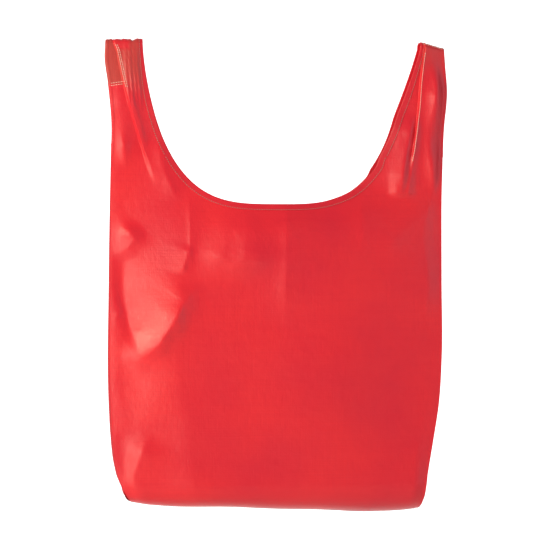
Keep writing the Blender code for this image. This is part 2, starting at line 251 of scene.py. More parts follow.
def neckline(face):
    """The neckline of a panel as x and z, left to right. At the right, the back's shows a little above
    the front's."""
    reach = neck_half(ROOT_Z, -1)
    x = np.linspace(-reach, reach, 601)
    z = NECK_Z * (1.0 - np.abs(x / NECK_HALF) ** NECK_POWER_X) ** (1.0 / NECK_POWER_Z)
    above = ROOT_Z - z if face < 0 else -0.158 - z
    return x + 0.0032 * smoothstep(above / 0.014) * smoothstep((z + 0.202) / 0.014) * (x > 0), z


def base_depth(z):
    """How far either sheet stands from the middle plane: a wedge below the fold line, a loop above it."""
    below = np.sqrt(PINCH**2 + (WEDGE * np.maximum(FOLD_Z - z, 0.0)) ** 2)
    return below + (GRIP_DEPTH - PINCH) * smoothstep((z - FOLD_Z) / (GRIP_Z - FOLD_Z - 0.020))


def line_distance(x, z, points):
    """Distance to a polyline of (x, z) points, signed by its side, and the share along it.
    Away from the line both run smoothly past its bends."""
    blur = 0.004
    lengths = [math.dist(a, b) for a, b in zip(points[:-1], points[1:], strict=True)]
    distances, shares, turns, passed = [], [], [], 0.0
    for (ax, az), (bx, bz), length in zip(points[:-1], points[1:], lengths, strict=True):
        share = np.clip(((x - ax) * (bx - ax) + (z - az) * (bz - az)) / length**2, 0.0, 1.0)
        dx, dz = x - (ax + share * (bx - ax)), z - (az + share * (bz - az))
        distances.append(np.hypot(dx, dz))
        shares.append((passed + share * length) / sum(lengths))
        turns.append((bx - ax) * dz - (bz - az) * dx)
        passed += length
    distances, shares, turns = np.stack(distances), np.stack(shares), np.stack(turns)
    nearest = distances.min(axis=0)
    weights = np.exp((nearest - distances) / blur)
    total = weights.sum(axis=0)
    distance = nearest - blur * np.log(total) * smoothstep(nearest / (3 * blur))
    side = np.take_along_axis(turns, distances.argmin(axis=0)[None], axis=0)[0]
    return np.copysign(np.maximum(distance, 0.0), side), (weights * shares).sum(axis=0) / total


def fold(x, z, points, height, left, right, taper, core):
    """A crease along a line, as in FRONT_FOLDS."""
    signed, along = line_distance(x, z, points)
    width = np.where(signed > 0, left, right)
    ends = smoothstep(along / taper) * smoothstep((1.0 - along) / taper)
    return height * ends * np.exp(-(np.sqrt(signed**2 + core**2) - core) / width)


def swell(x, z, centre, radius, height):
    """A soft round bump, or a hollow with a negative height."""
    return height * np.exp(-(((x - centre[0]) / radius[0]) ** 2) - ((z - centre[1]) / radius[1]) ** 2)


def waves(x, z, seed, count, length, height):
    """Smooth random waves, the same on each run."""
    rng = np.random.default_rng(seed)
    total = np.zeros(np.broadcast(x, z).shape)
    for _ in range(count):
        angle, phase = rng.uniform(0, math.pi), rng.uniform(0, 2 * math.pi)
        size = length * rng.uniform(0.7, 1.6)
        total = total + np.sin((x * math.cos(angle) + z * math.sin(angle)) * 2 * math.pi / size + phase)
    return height * total / math.sqrt(count)


def crumple(x, z, seed, length, height):
    """Small creases between flat facets, as in crisp thin cloth, strongest in a few patches."""
    bent_x = x + waves(x, z, seed, 4, length * 3, length * 0.25)
    bent_z = z + waves(x, z, seed + 1, 4, length * 3, length * 0.25)
    first = np.abs(waves(bent_x, bent_z, seed + 2, 3, length, 1.0))
    second = np.abs(waves(bent_x, bent_z, seed + 3, 3, length * 1.7, 1.0))
    patches = smoothstep(0.5 + 0.6 * waves(x, z, seed + 4, 4, length * 7, 1.0))
    return -height * patches * (np.sqrt(first**2 + 0.01) + np.sqrt(second**2 + 0.01))


def pleat(x, z, knots, side, height, fade_low, fade_high):
    """Cloth folded over itself at a line: it lies on top where side * (x - line) is above 0."""
    distance = (x - curve_at(knots, z)) * side
    crisp = 0.0018 + 0.0042 * smoothstep((ROOT_Z + 0.012 - z) / 0.024)
    edge = smoothstep(distance / crisp + 0.5)
    lip = np.exp(-np.maximum(distance, 0.0) / 0.010)
    tuck = np.exp(-np.maximum(-distance, 0.0) / 0.007)
    shown = height * smoothstep((z - fade_low) / (fade_high - fade_low))
    return shown * (edge * (0.3 + 0.7 * lip) - (1 - edge) * 0.35 * tuck)


def belly(x, z, knots, height, power):
    """The swell of a sheet, which is highest at a ridge and nothing at the side edges and in the straps."""
    ridge = curve_at(knots, z)
    toward = np.where(x < ridge, -1, 1)
    edge = np.where(toward < 0, -side_half(z, -1), side_half(z, 1))
    share = np.clip((x - ridge) / (edge - ridge), 0.0, 1.0)
    crisp = np.where(toward * np.sign(ridge) > 0, power, 2.6)
    rise = smoothstep((-0.140 - z) / 0.130) * (1.0 - 0.45 * smoothstep((-0.340 - z) / 0.200))
    return height * rise * (1.0 - (np.sqrt(share**2 + 0.0049) - 0.07) ** crisp)


def front_relief(x, z):
    """The front sheet's folds and creases."""
    relief = pleat(x, z, LEFT_PLEAT, 1, 0.0030, -0.186, -0.130)
    relief = relief + pleat(x, z, RIGHT_PLEAT, 1, 0.0036, -0.205, -0.140)
    for line in FRONT_FOLDS:
        relief = relief + fold(x, z, *line)
    for round_one in FRONT_SWELLS:
        relief = relief + swell(x, z, *round_one)
    return relief + waves(x, z, 5, 7, 0.170, 0.0009) + crumple(x, z, 61, 0.034, 0.00008)


def back_relief(x, z):
    """The back sheet's folds and creases. It lies flat behind the pocket."""
    relief = waves(x, z, 23, 7, 0.160, 0.0009) + crumple(x, z, 83, 0.034, 0.00008)
    for line in BACK_FOLDS:
        relief = relief + fold(x, z, *line)
    middle, half_height = (POCKET_TOP + POCKET_BOTTOM) / 2, 0.068
    apart = np.maximum(np.abs(x) / POCKET_HALF - 1.0, np.abs(z - middle) / half_height - 1.0)
    relief = relief * smoothstep(0.15 + apart / 0.8)
    relief = relief + pleat(x, z, LEFT_PLEAT, -1, 0.0022, -0.186, -0.140)
    return relief + pleat(x, z, RIGHT_PLEAT, -1, 0.0022, -0.192, -0.150)


def sheet_point(x, z, face):
    """A point of the front sheet (face -1) or the back sheet (face 1)."""
    half = np.where(x < 0, side_half(z, -1), side_half(z, 1))
    edge = smoothstep((half - np.abs(x)) / (0.020 + waves(z, 0 * z, 31, 4, 0.080, 0.0040)))
    if face < 0:
        swelling, relief = belly(x, z, FRONT_RIDGE, 0.0128, 1.16), front_relief(x, z)
    else:
        swelling, relief = belly(x, z, BACK_RIDGE, 0.0016, 1.6), back_relief(x, z)
    return np.stack([x, face * (base_depth(z) + swelling + edge * relief), z + 0 * x], axis=-1)


def sheet_normal(x, z, face):
    """The sheet's outward normal."""
    step = 0.0007
    along_x = sheet_point(x + step, z, face) - sheet_point(x - step, z, face)
    along_z = sheet_point(x, z + step, face) - sheet_point(x, z - step, face)
    return unit(np.cross(along_x, along_z)) * -face


def grid_normal(points):
    """Normals of a grid of points, from its own neighbours."""
    return unit(np.cross(np.gradient(points, axis=1), np.gradient(points, axis=0)))


def facing(normals, direction):
    """The normals, turned round as one where the middle one points away from the direction."""
    middle = normals[normals.shape[0] // 2, normals.shape[1] // 2]
    return normals if middle @ np.array(direction) > 0 else -normals


# Meshes.


def new_piece(name, vertices, faces, material):
    """A mesh object with smooth faces."""
    mesh = bpy.data.meshes.new(name)
    mesh.from_pydata(vertices.tolist(), [], faces)
    mesh.polygons.foreach_set("use_smooth", [True] * len(faces))
    mesh.materials.append(material)
    piece = bpy.data.objects.new(name, mesh)
    bpy.context.scene.collection.objects.link(piece)
    return piece


def shell(name, points, normals, material, tone=None):
    """A closed sheet of cloth round a grid of points, smooth on both faces, with plain edges."""
    rows, columns = points.shape[:2]
    count = rows * columns
    index = np.arange(count).reshape(rows, columns)
    quads = np.stack([index[:-1, :-1], index[1:, :-1], index[1:, 1:], index[:-1, 1:]], axis=-1)
    quads = quads.reshape(-1, 4)
    ring = np.concatenate([index[0, :], index[1:, -1], index[-1, -2::-1], index[-2:0:-1, 0]])
    after = np.roll(ring, -1)
    rim = np.stack([ring, after, after + count, ring + count], axis=-1)
    row, column = rows // 2, columns // 2
    down = points[row + 1, column] - points[row, column]
    across = points[row, column + 1] - points[row, column]
    if np.cross(down, across) @ normals[row, column] < 0:
        quads = quads[:, ::-1]
    else:
        rim = rim[:, ::-1]
    faces = np.concatenate([quads, quads[:, ::-1] + count, rim])
    vertices = np.concatenate([(points + s * normals * CLOTH / 2).reshape(-1, 3) for s in (1, -1)])
    piece = new_piece(name, vertices, faces.tolist(), material)
    smooth = np.concatenate([normals.reshape(-1, 3), -normals.reshape(-1, 3)])[faces]
    corners = vertices[rim]
    flat = unit(np.cross(corners[:, 2] - corners[:, 0], corners[:, 3] - corners[:, 1]))
    smooth[len(quads) * 2 :] = flat[:, None, :]
    ends = np.zeros(len(piece.data.edges) * 2, int)
    piece.data.edges.foreach_get("vertices", ends)
    ends = ends.reshape(-1, 2)
    border = np.isin(ends % count, ring).all(axis=1)
    piece.data.attributes.new("sharp_edge", "BOOLEAN", "EDGE").data.foreach_set("value", border)
    piece.data.normals_split_custom_set(smooth.reshape(-1, 3).tolist())
    if tone is not None:
        attribute = piece.data.attributes.new("tone", "FLOAT", "POINT")
        attribute.data.foreach_set("value", np.tile(tone.reshape(-1), 2).astype(np.float32))
    return piece


def tubes(name, bundle, material, tone=None):
    """One mesh of closed tubes, each given as rings of points (rings, points round, 3). tone, the painted
    shade of double-layered cloth, is worked out from x and z."""
    vertices, faces, first = [], [], 0
    for rings in bundle:
        count, around = rings.shape[:2]
        index = first + np.arange(count * around).reshape(count, around)
        after = np.roll(index, -1, axis=1)
        faces += np.stack([index[:-1], index[1:], after[1:], after[:-1]], axis=-1).reshape(-1, 4).tolist()
        faces += [index[0].tolist(), index[-1][::-1].tolist()]
        vertices.append(rings.reshape(-1, 3))
        first += count * around
    vertices = np.concatenate(vertices)
    piece = new_piece(name, vertices, faces, material)
    if tone is not None:
        attribute = piece.data.attributes.new("tone", "FLOAT", "POINT")
        attribute.data.foreach_set("value", tone(vertices[:, 0], vertices[:, 2]).astype(np.float32))
    mesh = bmesh.new()
    mesh.from_mesh(piece.data)
    bmesh.ops.recalc_face_normals(mesh, faces=mesh.faces)
    for edge in mesh.edges:
        edge.smooth = edge.calc_face_angle(0.0) < 0.9
    mesh.to_mesh(piece.data)
    mesh.free()
    return piece


def hem_rings(points, normals, half=HEM_HALF):
    """Rings of a hem folded round a cloth's edge. The points run from the edge inwards, row by row."""
    out = unit(points[:, :1] - points[:, 1:2])
    over = points[:, ::-1] + normals[:, ::-1] * half
    under = points - normals * half
    edge, lift = points[:, :1], normals[:, :1] * half * 0.7
    turn = [edge + out * half * 0.7 + lift, edge + out * half, edge + out * half * 0.7 - lift]
    return np.concatenate([over, *turn, under], axis=1)


def stitches(name, lines, material, thick=STITCH_RADIUS, length=STITCH_LENGTH):
    """Rows of separate stitches along (points, normals) lines. Each dips into the cloth at both ends."""
    turns = np.arange(6) * math.pi / 3
    bundle = []
    for points, normals in lines:
        arc = np.concatenate([[0.0], np.cumsum(np.linalg.norm(np.diff(points, axis=0), axis=1))])
        starts = np.arange(STITCH_STEP / 2, arc[-1] - length, STITCH_STEP)
        places = starts[:, None] + length * np.array([0.0, 0.2, 0.5, 0.8, 1.0])
        centre = np.stack([np.interp(places, arc, points[:, i]) for i in range(3)], axis=-1)
        up = unit(np.stack([np.interp(places, arc, normals[:, i]) for i in range(3)], axis=-1))
        sideways = unit(np.cross(np.gradient(centre, axis=1), up))
        lift = thick * np.array([-0.6, 0.5, 0.8, 0.5, -0.6])[None, :, None]
        radius = thick * np.array([0.5, 1.0, 1.0, 1.0, 0.5])[None, :, None, None]
        spokes = up[:, :, None] * np.sin(turns)[:, None] + sideways[:, :, None] * np.cos(turns)[:, None]
        bundle += list((centre + up * lift)[:, :, None] + spokes * radius)
    return tubes(name, bundle, material)


def raised(points, normals, height):
    """A line lifted off the middle of the cloth."""
    return points + normals * height, normals


# Materials.


def node(tree, kind, **values):
    """A shader node with its settings and input values."""
    made = tree.nodes.new(kind)
    for key, value in values.items():
        if key in made.inputs:
            made.inputs[key].default_value = value
        else:
            setattr(made, key, value)
    return made


def stretched_noise(tree, place, stretch, scale, detail):
    """Noise drawn out along the threads."""
    mapping = node(tree, "ShaderNodeMapping", Scale=stretch)
    noise = node(tree, "ShaderNodeTexNoise", Scale=scale, Detail=detail)
    tree.links.new(place.outputs["Object"], mapping.inputs["Vector"])
    tree.links.new(mapping.outputs["Vector"], noise.inputs["Vector"])
    return noise.outputs["Fac"]


def between(tree, value, low, high, start=0.0, end=1.0):
    """A value brought from start..end to low..high."""
    spread = node(tree, "ShaderNodeMapRange")
    for key, number in (("From Min", start), ("From Max", end), ("To Min", low), ("To Max", high)):
        spread.inputs[key].default_value = number
    tree.links.new(value, spread.inputs["Value"])
    return spread.outputs["Result"]


def colours(tree, factor, first, second):
    """A mix of two colours, each a colour or another node's output."""
    mix = node(tree, "ShaderNodeMix", data_type="RGBA")
    tree.links.new(factor, mix.inputs["Factor"])
    for key, colour in (("A", first), ("B", second)):
        if isinstance(colour, tuple):
            mix.inputs[key].default_value = (*colour, 1.0)
        else:
            tree.links.new(colour, mix.inputs[key])
    return mix.outputs["Result"]


def bump(tree, height, strength, distance, normal=None):
    """A bump node, on top of another one where given."""
    made = node(tree, "ShaderNodeBump", Strength=strength, Distance=distance)
    tree.links.new(height, made.inputs["Height"])
    if normal is not None:
        tree.links.new(normal, made.inputs["Normal"])
    return made.outputs["Normal"]


def cloth_material(name, colour, deep, doubled_shade, roughness):
    """Satin woven cloth: plain weave, slubs along both threads, uneven dye. Where the tone attribute is 1
    the colour turns to doubled_shade, a darker brownish red painted as shade on double-layered cloth.
    """
    material = bpy.data.materials.new(name)
    material.use_nodes = True
    tree = material.node_tree
    shader = tree.nodes["Principled BSDF"]
    place = node(tree, "ShaderNodeTexCoord")
    uneven = stretched_noise(tree, place, (1.0, 1.0, 1.0), 9.0, 3.0)
    weft = stretched_noise(tree, place, (14.0, 14.0, 900.0), 1.0, 2.0)
    warp = stretched_noise(tree, place, (900.0, 900.0, 14.0), 1.0, 2.0)
    slubs = node(tree, "ShaderNodeMath", operation="ADD")
    tree.links.new(weft, slubs.inputs[0])
    tree.links.new(warp, slubs.inputs[1])
    dye = colours(tree, between(tree, uneven, 0.0, 1.0, 0.30, 0.64), deep, colour)
    threads = colours(tree, between(tree, slubs.outputs[0], 0.40, 0.0, 0.7, 1.15), dye, deep)
    # The tone attribute mixes in a painted shade colour where the cloth is double-layered.
    tone = node(tree, "ShaderNodeAttribute", attribute_name="tone")
    tree.links.new(colours(tree, tone.outputs["Fac"], threads, doubled_shade), shader.inputs["Base Color"])
    uneven_gloss = between(tree, slubs.outputs[0], roughness - 0.05, roughness + 0.06, 0.7, 1.3)
    tree.links.new(uneven_gloss, shader.inputs["Roughness"])
    across = node(tree, "ShaderNodeTexWave", bands_direction="X", Scale=800.0)
    upward = node(tree, "ShaderNodeTexWave", bands_direction="Z", Scale=800.0)
    weave = node(tree, "ShaderNodeMath", operation="MULTIPLY")
    for wave, socket in ((across, 0), (upward, 1)):
        tree.links.new(place.outputs["Object"], wave.inputs["Vector"])
        tree.links.new(wave.outputs["Fac"], weave.inputs[socket])
    grain = stretched_noise(tree, place, (1.0, 1.0, 1.0), 160.0, 5.0)
    soft = bump(tree, grain, 0.12, 0.002)
    drawn = bump(tree, slubs.outputs[0], 0.60, 0.0002, soft)
    tree.links.new(bump(tree, weave.outputs[0], 0.20, 0.0001, drawn), shader.inputs["Normal"])
    shader.inputs["Specular IOR Level"].default_value = 0.5
    shader.inputs["Sheen Weight"].default_value = 0.05
    shader.inputs["Sheen Roughness"].default_value = 0.4
    shader.inputs["Sheen Tint"].default_value = (1.0, 0.6, 0.5, 1.0)
    return material


def plain_material(name, colour, roughness, metallic=0.0, scale=180.0):
    """Thread or metal, with a fine uneven surface."""
    material = bpy.data.materials.new(name)
    material.use_nodes = True
    tree = material.node_tree
    shader = tree.nodes["Principled BSDF"]
    shader.inputs["Metallic"].default_value = metallic
    place = node(tree, "ShaderNodeTexCoord")
    noise = stretched_noise(tree, place, (1.0, 1.0, 1.0), scale, 3.0)
    darker = tuple(c * 0.8 for c in colour)
    tree.links.new(colours(tree, noise, darker, colour), shader.inputs["Base Color"])
    tree.links.new(between(tree, noise, roughness - 0.05, roughness + 0.1), shader.inputs["Roughness"])
    tree.links.new(bump(tree, noise, 0.15, 0.0002), shader.inputs["Normal"])
    return material


# Darker brownish red painted as shade on double-layered handle cloth, for the light that comes through it
# less.
DOUBLED_SHADE_COLOUR = (0.48, 0.055, 0.045)
RED = cloth_material("red_satin", (0.76, 0.017, 0.026), (0.66, 0.011, 0.028), DOUBLED_SHADE_COLOUR, 0.35)
TAPE = cloth_material("red_hem", (0.70, 0.012, 0.028), (0.60, 0.009, 0.024), DOUBLED_SHADE_COLOUR, 0.42)
# A darker copy of the red satin for the gussets: painted shade, for the shadow they lie in between the
# panels.
SHADED_RED = cloth_material("red_satin_inside", (0.52, 0.011, 0.022), (0.44, 0.008, 0.022), DOUBLED_SHADE_COLOUR, 0.40)
GREY_THREAD = plain_material("grey_thread", (0.42, 0.25, 0.22), 0.6)
PALE_THREAD = plain_material("pale_thread", (0.92, 0.55, 0.47), 0.6)
METAL = plain_material("snap_metal", (0.70, 0.70, 0.72), 0.25, 1.0, 900.0)


# Panels, bottom and gussets.


COLUMNS = 215
STRIP_ROWS = 40
STRIP_Z = CREASE_Z + BOTTOM_STRIP


def half_at(share, z):
    """Half the bag's width at height z, on the left where share is below 0 and else on the right."""
    return np.where(share < 0, side_half(z, -1), side_half(z, 1))


def follow_panel(piece, face):
    """Pieces of the back sheet are attached to the back body, which carries the handles; pieces of the
    front sheet have their transform baked in place.
    """
    if face > 0:
        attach(piece, "back")
    else:
        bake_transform(piece)


def panel_piece(name, face, node_name):
    """The front or back panel: from the strap roots and the neckline down to the bottom strip."""
    share = np.linspace(-1.0, 1.0, COLUMNS)
    neck_x, neck_z = neckline(face)
    top = np.full(share.shape, ROOT_Z)
    for _ in range(3):
        top = np.interp(share * half_at(share, top), neck_x, neck_z - 0.0010, ROOT_Z, ROOT_Z)
    down = np.linspace(0.0, 1.0, 205)[:, None] ** 0.94
    z = top[None, :] * (1 - down) + STRIP_Z * down
    x = share[None, :] * half_at(share, z)
    piece = shell(name, sheet_point(x, z, face), sheet_normal(x, z, face), RED)
    follow_panel(piece, face)
    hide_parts(node_name)
    return piece


def bottom_grid(share, along, face):
    """Points of the strip that turns under: share -1 to 1 across, along 0 at the panel, 1 at the seam."""
    level = np.full(share.shape, STRIP_Z)
    half, low_half = half_at(share, level), half_at(share, level - 0.024)
    start = sheet_point(share * half, level, face)
    way = unit(start - sheet_point(share * half, level + 0.001, face))
    turn = start + way * 0.021
    turn[..., 0] = share * (half * 0.35 + low_half * 0.65)
    lift = curve_at(BOTTOM_EDGE, share) + waves(share * 0.2, 0 * share, 71, 5, 0.11, 0.0007)
    under_z = SEAM_Z + 0.0015 + lift * 0.7
    under = np.stack([share * low_half * 0.985, start[..., 1] * 0.93, under_z], axis=-1)
    seam = np.stack([share * SEAM_HALF, 0 * share + face * 0.0006, SEAM_Z + lift], axis=-1)
    rest = 1 - along
    return start * rest**3 + 3 * turn * along * rest**2 + 3 * under * along**2 * rest + seam * along**3


def bottom_piece(name, face, face_name):
    """The strip of a panel that turns under at the bottom crease and runs to the bottom seam."""
    share = np.linspace(-1.0, 1.0, COLUMNS)[None, :]
    steps = np.linspace(0.0, 1.0, STRIP_ROWS)[:, None, None]
    points = bottom_grid(np.repeat(share, STRIP_ROWS, axis=0), steps, face)
    level = np.full(share.shape, STRIP_Z)
    ease = smoothstep(steps * 5)
    normals = facing(grid_normal(points), (0.0, face * 0.2, -1.0))
    panel_normals = sheet_normal(share * half_at(share, level), level, face)
    normals = unit(normals * ease + panel_normals * (1 - ease))
    piece = shell(name, points, normals, RED)
    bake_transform(piece)
    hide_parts(f"bottom_{face_name}_flap")
    return piece


def seam_band():
    """The tape along the bottom seam, under the back's strip."""
    share = np.linspace(-0.995, 0.995, 200)[None, :]
    steps = np.linspace(0.88, 0.998, 6)[:, None, None]
    points = bottom_grid(np.repeat(share, 6, axis=0), steps, 1)
    normals = facing(grid_normal(points), (0.0, 0.0, -1.0))
    piece = shell("bottom_seam_band", points + normals * 0.0007, normals, TAPE)
    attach(piece, "bottom_back")
    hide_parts("bottom_seam_tape")
    rows = [raised(points[row], normals[row], 0.00105) for row in (1, 4)]
    thread = stitches("bottom_seam_stitches", rows, GREY_THREAD)
    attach(thread, "bottom_back")
    return piece, thread


def gusset_piece(name, side, face):
    """Half a side gusset, from the panel's side edge to the inner fold."""
    rows, columns = 170, 30
    across = np.linspace(0.0, 1.0, columns)[None, :]
    heights = np.linspace(STRIP_Z, FOLD_Z, 200)
    steps = np.linspace(0.0, 1.0, 60)[:, None]
    turn = bottom_grid(np.full((60, 1), float(side)), steps[..., None], face)[:, 0]
    widest = int(np.argmax(turn[:, 1] * face))
    last = widest + 8
    edge_z = np.concatenate([turn[last:0:-1, 2], heights])
    edge_x = np.concatenate([turn[last:0:-1, 0] * side, side_half(heights, side)])
    edge_y = np.concatenate([turn[last:0:-1, 1] * face, base_depth(heights)])
    low_y = turn[last, 1] * face * (1 - across)
    low = np.interp(low_y, turn[:last - 1:-1, 1] * face, turn[:last - 1:-1, 2]) + 0.0006
    z = FOLD_Z + (low - FOLD_Z) * np.linspace(0.0, 1.0, rows)[:, None]
    inner = HALF_WIDTH - 0.002 - 0.034 * np.minimum((FOLD_Z - z) / (FOLD_Z - CREASE_Z), 1.0)
    inset = np.interp(z, edge_z, edge_x) - inner
    bow = 0.22 * np.sin(math.pi * across) * inset
    ripple = waves(z, 0.05 * across, 41 + face, 6, 0.070, 0.0007)
    ripple = ripple + crumple(z, 0.05 * across, 91 + side, 0.03, 0.0002)
    ripple = ripple * np.sin(math.pi * across)
    x = side * (np.interp(z, edge_z, edge_x) - inset * across + bow * (-0.3 if face < 0 else 0.06) + ripple)
    y = face * (np.interp(z, edge_z, edge_y) * (1 - across) + 0.00022)
    points = np.stack([x, y, z], axis=-1)
    # The gussets take the darker copy of the satin, which is painted shade.
    piece = shell(name, points, facing(grid_normal(points), (side, 0.0, 0.0)), SHADED_RED)
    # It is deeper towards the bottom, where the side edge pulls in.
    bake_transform(piece)
    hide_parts(name.replace("_cloth", "_half"))
    return piece


def neck_grid(face, offsets):
    """Points and normals of rows across the neckline's hem, at distances inwards from its edge."""
    x, z = neckline(face)
    arc = np.concatenate([[0.0], np.cumsum(np.hypot(np.diff(x), np.diff(z)))])
    places = np.linspace(0.0, arc[-1], 190)
    x, z = np.interp(places, arc, x), np.interp(places, arc, z)
    tangent = unit(np.stack([np.gradient(x), np.gradient(z)], axis=-1))
    inward = np.stack([tangent[:, 1], -tangent[:, 0]], axis=-1)
    # At either end the rows lie level, as the strap's rows do.
    for end, part in ((0, places), (-1, places[-1] - places)):
        skew = tangent[end, 0] / tangent[end, 1] * (1 - smoothstep(part / 0.035))
        inward = inward + tangent * skew[:, None]
    grid_x = x[:, None] + inward[:, :1] * np.array(offsets)
    grid_z = z[:, None] + inward[:, 1:] * np.array(offsets)
    return sheet_point(grid_x, grid_z, face), sheet_normal(grid_x, grid_z, face)


HEM_OFFSETS = (0.0, 0.0015, 0.0035, 0.0055, 0.0072, HEM)


def neck_pieces(face, face_name):
    """A neckline's hem and its stitches."""
    points, normals = neck_grid(face, HEM_OFFSETS)
    hem = tubes(f"{face_name}_neck_hem", [hem_rings(points, normals)], TAPE)
    follow_panel(hem, face)
    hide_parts(f"{face_name}_neck_binding")
    points, normals = neck_grid(face, [HEM - 0.0011])
    points, normals = points[:, 0], normals[:, 0]
    lines = [raised(points, normals * s, HEM_HALF) for s in (1, -1)]
    thread = stitches(f"{face_name}_neck_stitches", lines, GREY_THREAD)
    follow_panel(thread, face)
    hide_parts(f"{face_name}_neck_stitching")
    return hem, thread


# Handles.

STRAP_ROWS = 78
GRIP_ROW = STRAP_ROWS + 3  # the row of a loop at which the grip has nearly turned level


def loop(side, across):
    """Points and normals of a handle's loop, from the front root over the top to the back root.
    across gives half widths of the bag, (rows, columns), for heights (rows, 1)."""
    top = GRIP_TOP - GRIP_CORNER - CLOTH / 2
    z = np.linspace(ROOT_Z, top, STRAP_ROWS)[:, None]
    wide = across(z)
    share = (wide - neck_half(z, side)) / (side_half(z, side) - neck_half(z, side))
    tilt = 0.0075 if side > 0 else 0.0012
    height = z - tilt * share * smoothstep((z + 0.080) / 0.070)
    x = side * wide
    front, back = sheet_point(x, height, -1), sheet_point(x, height, 1)
    corner = np.linspace(0.0, math.pi / 2, 9)[1:]
    run = GRIP_CORNER * (1 - np.cos(corner))
    flat = np.linspace(run[-1], 2 * GRIP_DEPTH - run[-1], 8)[1:-1]
    run = np.concatenate([run, flat, 2 * GRIP_DEPTH - run[::-1]])[:-1]
    rise = np.concatenate([np.sin(corner), np.ones(6), np.sin(corner)[::-1]])[:-1]
    gather = 0.00012 * np.sin(x[-1] * 760.0) + 0.00008 * np.sin(x[-1] * 1700.0 + 1.0)
    if side < 0:
        gather = gather * 3.5 + 0.0018 * np.exp(-(((x[-1] + 0.1815) / 0.0024) ** 2))
    swing = (run / (2 * GRIP_DEPTH))[:, None, None]
    arch = front[-1] * (1 - swing) + back[-1] * swing
    arch[..., 2] += rise[:, None] * (GRIP_CORNER - gather[None, :])
    points = np.concatenate([front, arch, back[::-1]])
    normals = grid_normal(points)
    if normals[20, len(x[0]) // 2, 1] > 0:
        normals = -normals
    plain = 1 - smoothstep((height + 0.060) / 0.030)[..., None]
    count = len(z)
    for rows, face, order in ((slice(None, count), -1, 1), (slice(-count, None), 1, -1)):
        share = plain[::order]
        normals[rows] = unit(normals[rows] * (1 - share) + sheet_normal(x, height, face)[::order] * share)
    return points, normals


def from_inner(side, offsets):
    """Half widths at distances from a strap's inner edge, measured square to the edge. The hem narrows
    towards the top."""
    def across(z):
        slope = (neck_half(z + 0.001, side) - neck_half(z - 0.001, side)) / 0.002
        narrow = 1 - 0.42 * smoothstep((z + 0.085) / 0.075)
        return neck_half(z, side) + np.array(offsets) * narrow * np.sqrt(1 + np.minimum(slope**2, 1.2))
    return across


def from_outer(side, offsets):
    """Half widths at distances from a strap's outer edge."""
    return lambda z: side_half(z, side) - np.array(offsets)


def pleated(side):
    """Half widths across the whole strap, closer together at the pleat so that its edge is crisp."""
    knots = LEFT_PLEAT if side < 0 else RIGHT_PLEAT
    near = np.concatenate([np.linspace(0.0, 0.90, 17), np.linspace(0.925, 1.0, 4)])
    def across(z):
        inner, outer, middle = neck_half(z, side), side_half(z, side), np.abs(curve_at(knots, z))
        inward, outward = inner + (middle - inner) * near, outer + (middle - outer) * near[::-1][1:]
        return np.concatenate([inward, outward], axis=1)
    return across


def middle_line(grid, height, rows=slice(None)):
    """The middle column of a loop, lifted off the cloth."""
    points, normals = grid
    return raised(points[rows, 1], normals[rows, 1], height)


def doubled_painted_shade(side):
    """How much painted shade the handle's cloth gets, from x and z: darker where it is double-layered,
    above the cross seam, with stripes of painted shade where it is gathered."""
    def tone(x, z):
        shade_streaks = 0.86 + 0.14 * np.sin(x * 2300.0 + 3.0 * np.sin(z * 60.0))
        if side > 0:
            return 0.45 * smoothstep((z + 0.050) / 0.045) * shade_streaks
        beyond = smoothstep((curve_at(LEFT_PLEAT, z) - x) / 0.002)
        single = smoothstep((z + 0.016) / 0.006) * smoothstep((-0.184 - x) / 0.003) * (1 - beyond)
        gathered = (1 - beyond) * 0.85 * smoothstep((z + 0.080) / 0.045) * (1 - 0.8 * single)
        return (beyond * smoothstep((z + 0.0580) / 0.003) + gathered) * shade_streaks
    return tone


def handle_pieces(side_name, side):
    """A handle: one loop of cloth with a hem along each edge, and its stitches."""
    points, normals = loop(side, pleated(side))
    # Painted shade for the double-layered and gathered cloth, from x and z.
    doubled_shade = doubled_painted_shade(side)
    handle = f"{side_name}_handle"
    cloth = shell(f"{handle}_cloth", points, normals, RED, doubled_shade(points[..., 0], points[..., 2]))
    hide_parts(f"{handle}_grip", f"{handle}_front_strap", f"{handle}_back_strap")
    inner_rings = hem_rings(*loop(side, from_inner(side, HEM_OFFSETS)))
    inner = tubes(f"{handle}_inner_hem", [inner_rings], TAPE)
    outer_rings = hem_rings(*loop(side, from_outer(side, (0.0, 0.0009, 0.0018, OUTER_HEM))), 0.0005)
    outer = tubes(f"{handle}_outer_hem", [outer_rings], RED, doubled_shade)
    for piece, edge in ((inner, "inner"), (outer, "outer")):
        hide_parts(f"{handle}_front_{edge}_binding", f"{handle}_back_{edge}_binding")
    hem_line = loop(side, from_inner(side, [HEM - 0.0016, HEM - 0.0011, HEM - 0.0006]))
    lines = [middle_line(hem_line, HEM_HALF), middle_line(hem_line, -HEM_HALF)]
    thread = stitches(f"{handle}_stitches", lines, GREY_THREAD)
    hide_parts(f"{handle}_stitching")
    rows = top_lines(side)
    if side > 0:
        rows.append(raised(points[GRIP_ROW], normals[GRIP_ROW], CLOTH / 2))
    topstitch = stitches(f"{handle}_topstitches", rows, PALE_THREAD, 0.0004, 0.0026)
    made = [cloth, inner, outer, thread, topstitch]
    for piece in made:
        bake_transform(piece)
    return made


def surface_line(places, face):
    """A line on a sheet through (x, z) places, lifted just off the cloth."""
    where, knots = np.linspace(0, 1, 60), np.linspace(0, 1, len(places))
    x, z = (np.interp(where, knots, [p[i] for p in places]) for i in (0, 1))
    return raised(sheet_point(x, z, face), sheet_normal(x, z, face), CLOTH / 2)


